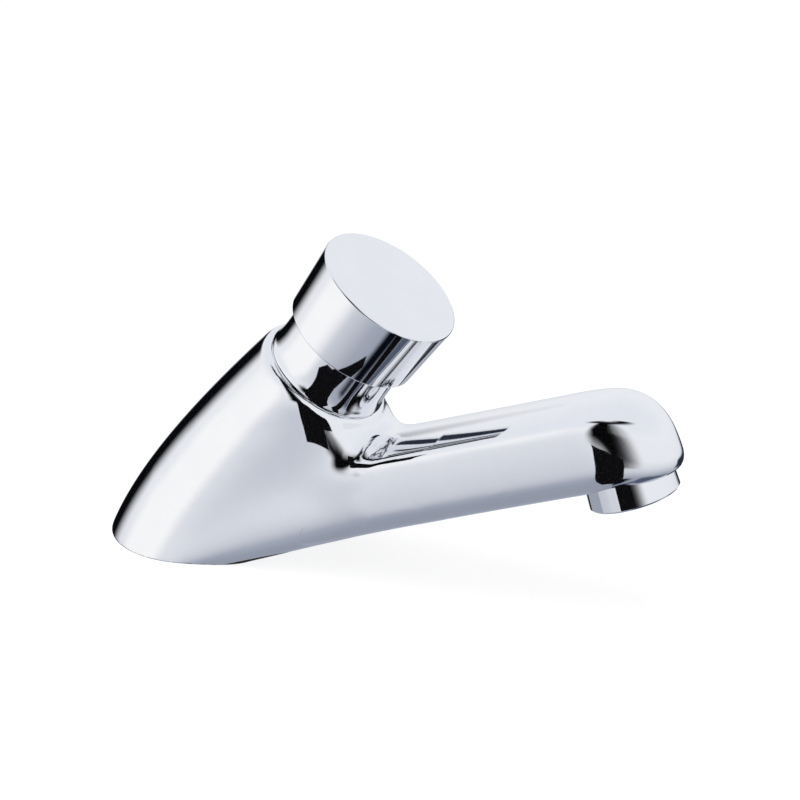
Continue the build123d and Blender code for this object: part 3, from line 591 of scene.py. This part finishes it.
def cast_body():
    """Barrel, spout and web merged into one skin, its valleys filled and the whole polished."""
    barrel, web, run, nose, flank = barrel_skin(), web_skin(), run_skin(), nose_skin(), flank_skin()
    web_tree, run_tree = BVHTree.FromBMesh(web), BVHTree.FromBMesh(run)
    piece = joined("cast_body", barrel, web, run, nose, flank)
    merged(piece)
    shape = bmesh.new()
    shape.from_mesh(piece.data)
    round_underside(shape)
    fill_valley(shape, run_tree, web_tree)
    soften_flanks(shape)
    soften_rim(shape)
    soften(shape, shape.verts[:], POLISH_PASSES)
    cut_foot(shape)
    shape.to_mesh(piece.data)
    shape.free()
    piece.data.shade_smooth()
    return piece


BODY = cast_body()
BODY.data.materials.append(CHROME)
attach(BODY, "root")
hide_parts("body")

# Neck: the chromed bonnet, flared where it sits on the shoulder

NECK_BORE = 11.7
NECK_THREAD = 14.4
NECK_RADIUS = 16.5
NECK_FLARE = 17.3
NECK_FOOT = 58.0
NECK_TOP = 84.0
NECK_PROFILE = (
    # radius and height on the stem, from the thread inside the barrel up and over to the bore
    (NECK_BORE, NECK_FOOT), (NECK_THREAD, NECK_FOOT), (NECK_THREAD, BARREL_LENGTH), (16.9, BARREL_LENGTH),
    (17.0, 65.35), (NECK_FLARE, 65.5), (NECK_FLARE, 65.75), (17.0, 66.5), (16.8, 67.4), (16.65, 68.6),
    (16.55, 70.0), (NECK_RADIUS, 71.6), (NECK_RADIUS, 83.4), (16.1, NECK_TOP), (12.1, NECK_TOP),
    (NECK_BORE, 83.6),
)
TURNED_SLICES = 160
# Edges that turn by more degrees than this stay sharp
SHARP_EDGE = 28


def lathe(profile, foot, axis, out, slices):
    """A closed profile of radius and height turned round an axis."""
    shape = bmesh.new()
    outline = [shape.verts.new((foot + axis * height + out * radius) * MM) for radius, height in profile]
    edges = [shape.edges.new((first, second)) for first, second in zip(outline, outline[1:] + outline[:1])]
    bmesh.ops.spin(shape, geom=outline + edges, cent=foot * MM, axis=axis, angle=tau, steps=slices,
                   use_merge=True)
    bmesh.ops.remove_doubles(shape, verts=shape.verts, dist=POINT_TOLERANCE)
    bmesh.ops.recalc_face_normals(shape, faces=shape.faces)
    return shape


def finished(name, shape, finish, node):
    """The finished piece of a shape: smooth but for its sharp edges, in place of its solid."""
    for face in shape.faces:
        face.smooth = True
    for edge in shape.edges:
        edge.smooth = len(edge.link_faces) == 2 and edge.calc_face_angle(0) < radians(SHARP_EDGE)
    piece = placed(name, shape)
    piece.data.materials.append(finish)
    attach(piece, "root")
    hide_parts(node)
    return piece


NECK_SHAPE = lathe(NECK_PROFILE, stem_point(0), STEM, STEM_FRONT, TURNED_SLICES)
finished("flared_neck", NECK_SHAPE, CHROME, "bonnet")

# Shank: G 1/2 pipe thread, cut in two lengths with a runout groove between

THREAD_RADIUS = 10.4775
THREAD_PITCH = 1.814
THREAD_DEPTH = 1.162
# Shares of half a pitch that crest and flank take, and share of the depth that the lower end starts with
THREAD_CREST = 0.12
THREAD_FLANK = 0.76
THREAD_START = 0.35
THREAD_STEP = 0.15
THREAD_SLICES = 72
WALL_TOLERANCE = 0.001
# Heights above the deck: ends of the shank, of the runout groove and of the O-ring's groove, and two steps
SHANK_FOOT = -50.0
SHANK_TOP = 8.0
RUNOUT_FOOT = -36.5
RUNOUT_TOP = -35.0
RING_FOOT = 4.15
RING_TOP = 6.15
LIMITER_SEAT = -6.0
STRAINER_SEAT = -48.5
# Radii: floors of the two grooves, then the bore above the flow limiter, below it and at the strainer
RUNOUT_RADIUS = 9.2775
RING_RADIUS = 8.7
UPPER_BORE = 7.5
LOWER_BORE = 6.8
STRAINER_BORE = 8.8
THREAD_LENGTHS = ((SHANK_FOOT, RUNOUT_FOOT), (RUNOUT_TOP, RING_FOOT))
SHANK_GROOVES = (
    # radius and height: runout groove, then the O-ring's groove and the top
    ((RUNOUT_RADIUS, RUNOUT_FOOT), (RUNOUT_RADIUS, RUNOUT_TOP)),
    ((RING_RADIUS, RING_FOOT), (RING_RADIUS, RING_TOP), (THREAD_RADIUS, RING_TOP), (THREAD_RADIUS, 7.6),
     (10.08, SHANK_TOP)),
)
SHANK_BORE = ((7.9, SHANK_TOP), (UPPER_BORE, 7.6), (UPPER_BORE, LIMITER_SEAT), (LOWER_BORE, LIMITER_SEAT),
              (LOWER_BORE, STRAINER_SEAT), (STRAINER_BORE, STRAINER_SEAT), (STRAINER_BORE, SHANK_FOOT))


def threaded_shank():
    """The shank turned with plain walls, then its thread cut in as a helix that runs out at both ends."""
    profile = []
    for (low, high), groove in zip(THREAD_LENGTHS, SHANK_GROOVES):
        steps = round((high - low) / THREAD_STEP)
        profile += [(THREAD_RADIUS, low + (high - low) * step / steps) for step in range(steps + 1)]
        profile += groove
    shape = lathe(profile + list(SHANK_BORE), ORIGIN, Vector((0, 0, 1)), Vector((1, 0, 0)), THREAD_SLICES)
    for vert in shape.verts:
        place = vert.co / MM
        radius = place.xy.length
        if radius < THREAD_RADIUS - WALL_TOLERANCE:
            continue
        for low, high in THREAD_LENGTHS:
            if low <= place.z <= high:
                phase = (place.z / THREAD_PITCH - atan2(place.y, place.x) / tau) % 1
                flank = min(1, max(0, (abs(2 * phase - 1) - THREAD_CREST) / THREAD_FLANK))
                runout = min(1, (high - place.z) / THREAD_PITCH)
                start = THREAD_START * max(0, 1 - (place.z - low) / THREAD_PITCH)
                depth = max(flank * runout * THREAD_DEPTH, start * THREAD_DEPTH)
                vert.co.xy *= 1 - depth / radius
    return shape


finished("threaded_shank", threaded_shank(), TURNED_BRASS, "shank")

# Return spring: round wire with eased end coils, ground flat where it seats

SPRING_SEAT = 42.0
SPRING_TOP = 55.0
SPRING_RADIUS = 7.2
WIRE_RADIUS = 0.55
WIRE_POINTS = 16
SPRING_TURNS = 4.5
SPRING_STEPS = 270
END_EASE = 1.0
END_GRIND = 0.25
SPRING_GAP = 0.02


def coiled_spring():
    """Rings of wire along the coil, flat at seat and plate."""
    low = SPRING_SEAT + WIRE_RADIUS - END_GRIND
    rise = SPRING_TOP - SPRING_SEAT - 2 * (WIRE_RADIUS - END_GRIND)
    rings = []
    for step in range(SPRING_STEPS + 1):
        share = step / SPRING_STEPS
        turn = tau * SPRING_TURNS * share
        out = STEM_FRONT * cos(turn) + Vector((0, sin(turn), 0))
        middle = low + rise * share - END_EASE * sin(tau * share)
        ring = []
        for point in range(WIRE_POINTS):
            around = tau * point / WIRE_POINTS
            height = middle + WIRE_RADIUS * sin(around)
            height = min(SPRING_TOP - SPRING_GAP, max(SPRING_SEAT + SPRING_GAP, height))
            ring.append(stem_point(height) + out * (SPRING_RADIUS + WIRE_RADIUS * cos(around)))
        rings.append(ring)
    return skin_rings(rings)


SPRING = finished("coiled_spring", coiled_spring(), SPRING_STEEL, "return_spring")
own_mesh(SPRING)

# Camera at the photograph's angle

CAMERA_ELEVATION = 21.099
CAMERA_AZIMUTH = 24.966
CAMERA_DISTANCE = 564.631
CAMERA_TARGET = Vector((61.368, 0, 48.022))
FOCAL_PIXELS = 2114.592
FRAME_PIXELS = 800
SENSOR = 36.0
CLIP_START = 0.01


def place_camera():
    """The camera looks at a point inside the tap, from the right of its front."""
    turn, rise = radians(CAMERA_AZIMUTH), radians(CAMERA_ELEVATION)
    back = Vector((sin(turn) * cos(rise), -cos(turn) * cos(rise), sin(rise)))
    right = Vector((cos(turn), sin(turn), 0))
    up = back.cross(right)
    data = bpy.data.cameras.new("camera")
    data.sensor_width = SENSOR
    data.lens = FOCAL_PIXELS / FRAME_PIXELS * SENSOR
    data.clip_start = CLIP_START
    camera = bpy.data.objects.new("camera", data)
    place = Matrix((right, up, back)).transposed().to_4x4()
    place.translation = (CAMERA_TARGET + back * CAMERA_DISTANCE) * MM
    camera.matrix_world = place
    bpy.context.scene.collection.objects.link(camera)
    bpy.context.scene.camera = camera


# Surroundings: plain white to the eye, while the chrome mirrors a pale studio with cards in it, and sheets
# that paint dark and grey reflections onto it

WHITE = "#FFFFFF"
FILL_LIGHT = 0.75
STUDIO_HEIGHTS = (
    # degrees above the horizon, what the chrome sees there
    (-90, "#969BA8"), (-62, "#989FAD"), (-46, "#A5ABB8"), (-30, "#C6CAD3"), (-14, "#DEE1E7"), (2, "#EEF0F4"),
    (18, "#F1F3F7"), (40, "#EAEDF3"), (90, "#EAEDF3"),
)
CARDS = (
    # azimuth from and to, elevation from and to, softness of the four edges, colour
    ((-82, -31, -19, 15), (9, 8, 8, 8), WHITE),
    ((-142, -104, -44, 15), (6, 12, 8, 6), "#08090C"),
    ((161, 182, -50, -28), (5, 1, 6, 6), "#26282E"),
    ((130, 182, -34, -9), (5, 1, 5, 4), "#2A2F3C"),
    ((-182, -170, -34, -9), (1, 5, 5, 4), "#2A2F3C"),
    ((-10, 34, -7, 72), (7, 20, 5, 8), "#050506"),
    ((8, 34, -17, 10), (7, 20, 4, 4), "#050506"),
    ((-60, 108, 60, 80), (16, 10, 7, 8), "#08080A"),
    ((56, 152, -100, -52), (8, 8, 2, 6), "#515A6C"),
    ((17, 39, -100, -54), (6, 7, 2, 4), "#050712"),
)


def card(tree, azimuth, elevation, span, edges):
    """1 where a direction falls on a soft-edged card, else 0."""
    az_low, az_high, el_low, el_high = span
    left, right, below, above = edges
    sides = (
        # direction, where the card fades out, where it is whole
        (azimuth, az_low - left, az_low + left), (azimuth, az_high + right, az_high - right),
        (elevation, el_low - below, el_low + below), (elevation, el_high + above, el_high - above),
    )
    shape = 1.0
    for direction, outside, inside in sides:
        side = add_node(tree, "ShaderNodeMapRange", {"interpolation_type": "SMOOTHSTEP"}, Value=direction,
                        From_Min=outside, From_Max=inside).outputs[0]
        shape = add_node(tree, "ShaderNodeMath", {"operation": "MULTIPLY"}, i0=shape, i1=side).outputs[0]
    return shape


def light_world():
    """White to the camera; the chrome sees white above, pale grey below and the cards between."""
    world = bpy.data.worlds.new("studio")
    bpy.context.scene.world = world
    world.use_nodes = True
    tree = world.node_tree
    tree.nodes.clear()
    direction = add_node(tree, "ShaderNodeTexCoord").outputs["Generated"]
    axes = add_node(tree, "ShaderNodeSeparateXYZ", Vector=direction).outputs
    toward = add_node(tree, "ShaderNodeMath", {"operation": "MULTIPLY"}, i0=axes[1], i1=-1.0).outputs[0]
    turn = add_node(tree, "ShaderNodeMath", {"operation": "ARCTAN2"}, i0=axes[0], i1=toward).outputs[0]
    rise = add_node(tree, "ShaderNodeMath", {"operation": "ARCSINE"}, i0=axes[2]).outputs[0]
    azimuth = add_node(tree, "ShaderNodeMath", {"operation": "DEGREES"}, i0=turn).outputs[0]
    elevation = add_node(tree, "ShaderNodeMath", {"operation": "DEGREES"}, i0=rise).outputs[0]
    height = add_node(tree, "ShaderNodeMapRange", Value=elevation, From_Min=-90.0, From_Max=90.0).outputs[0]
    ramp = add_node(tree, "ShaderNodeValToRGB", Fac=height)
    stops = ramp.color_ramp.elements
    for degrees, _ in STUDIO_HEIGHTS[1:-1]:
        stops.new((degrees + 90) / 180)
    for stop, (_, shade) in zip(stops, STUDIO_HEIGHTS):
        stop.color = linear(shade)
    seen = ramp.outputs["Color"]
    for span, edges, shade in CARDS:
        mask = card(tree, azimuth, elevation, span, edges)
        seen = add_node(tree, "ShaderNodeMix", {"data_type": "RGBA"}, i0=mask, i6=seen,
                        i7=linear(shade)).outputs[2]
    rays = add_node(tree, "ShaderNodeLightPath").outputs
    studio = add_node(tree, "ShaderNodeBackground", Color=seen, Strength=1.0).outputs[0]
    fill = add_node(tree, "ShaderNodeBackground", Color=linear(WHITE), Strength=FILL_LIGHT).outputs[0]
    white = add_node(tree, "ShaderNodeBackground", Color=linear(WHITE), Strength=1.0).outputs[0]
    lit = add_node(tree, "ShaderNodeMixShader", i0=rays["Is Glossy Ray"], i1=fill, i2=studio).outputs[0]
    shown = add_node(tree, "ShaderNodeMixShader", i0=rays["Is Camera Ray"], i1=lit, i2=white).outputs[0]
    add_node(tree, "ShaderNodeOutputWorld", Surface=shown)


STUDIO_SHEETS = (
    # name, colour and corners: two black sheets that paint dark reflections on the nose and on the web and
    # neck, and a grey sheet between the chrome and the brass tail that paints a grey reflection in its place
    ("nose_dark_reflection_sheet", "#0C0C0E", ((112, -76, -300), (158, -76, -300), (158, -76, 42), (112, -76, 42))),
    # this dark sheet hangs a few millimetres off the web and neck and paints their dark reflection
    ("neck_dark_reflection_sheet", "#0C0C0E", ((42, -27, 34.5), (50, -27, 34.5), (52, -27, 41), (62, -27, 43),
                              (62, -27, 51), (48, -27, 53), (45, -27, 56), (41, -27, 56))),
    # the grey sheet below the deck paints a grey reflection in place of the brass tail
    ("tail_grey_reflection_sheet", "#9EA4B1", ((40, -45, -60), (40, 45, -60), (40, 45, -1), (40, -45, -1))),
)


def hang_sheets():
    """Glowing sheets beside the tap, which only reflections see: painted reflections on the chrome."""
    for name, shade, corners in STUDIO_SHEETS:
        outline = bmesh.new()
        points = [outline.verts.new(Vector(corner) * MM) for corner in corners]
        bmesh.ops.contextual_create(outline, geom=points)
        sheet = placed(name, outline)
        material, tree = new_finish(name + "_cloth")
        # each sheet glows with its colour, as a painted reflection that only the chrome shows
        painted_reflection = add_node(tree, "ShaderNodeEmission", Color=linear(shade), Strength=1.0).outputs[0]
        add_node(tree, "ShaderNodeOutputMaterial", Surface=painted_reflection)
        sheet.data.materials.append(material)
        sheet.visible_camera = sheet.visible_diffuse = False
        sheet.visible_shadow = sheet.visible_transmission = False


# Floor and lamp, in metres and watts
FLOOR_SIZE = 4.0
FLOOR_GLOW = 0.82
LAMP_POWER = 4.0
LAMP_SIZE = 0.8
LAMP_PLACE = (-0.1, -0.2, 1.0)


def lay_floor():
    """Pale floor at the deck's level: white with a soft contact shadow to the eye, clear to the chrome."""
    sheet = bmesh.new()
    bmesh.ops.create_grid(sheet, x_segments=1, y_segments=1, size=FLOOR_SIZE / 2)
    floor = placed("floor", sheet)
    material, tree = new_finish("white_paper_floor")
    paper = add_node(tree, "ShaderNodeBsdfDiffuse", Color=linear("#8A8A8A")).outputs[0]
    glow = add_node(tree, "ShaderNodeEmission", Color=linear(WHITE), Strength=FLOOR_GLOW).outputs[0]
    both = add_node(tree, "ShaderNodeAddShader", i0=paper, i1=glow).outputs[0]
    clear = add_node(tree, "ShaderNodeBsdfTransparent").outputs[0]
    rays = add_node(tree, "ShaderNodeLightPath").outputs
    unseen = add_node(tree, "ShaderNodeMath", {"operation": "MAXIMUM"}, i0=rays["Is Glossy Ray"],
                      i1=rays["Is Transmission Ray"]).outputs[0]
    seen = add_node(tree, "ShaderNodeMixShader", i0=unseen, i1=both, i2=clear).outputs[0]
    add_node(tree, "ShaderNodeOutputMaterial", Surface=seen)
    floor.data.materials.append(material)


def hang_lamp():
    """One large soft lamp high above, for the shadow under the tap."""
    data = bpy.data.lights.new("soft_lamp", "AREA")
    data.energy = LAMP_POWER
    data.size = LAMP_SIZE
    lamp = bpy.data.objects.new("soft_lamp", data)
    lamp.location = LAMP_PLACE
    lamp.visible_glossy = False
    bpy.context.scene.collection.objects.link(lamp)


place_camera()
light_world()
lay_floor()
hang_sheets()
hang_lamp()
bpy.context.scene.view_settings.view_transform = "Standard"
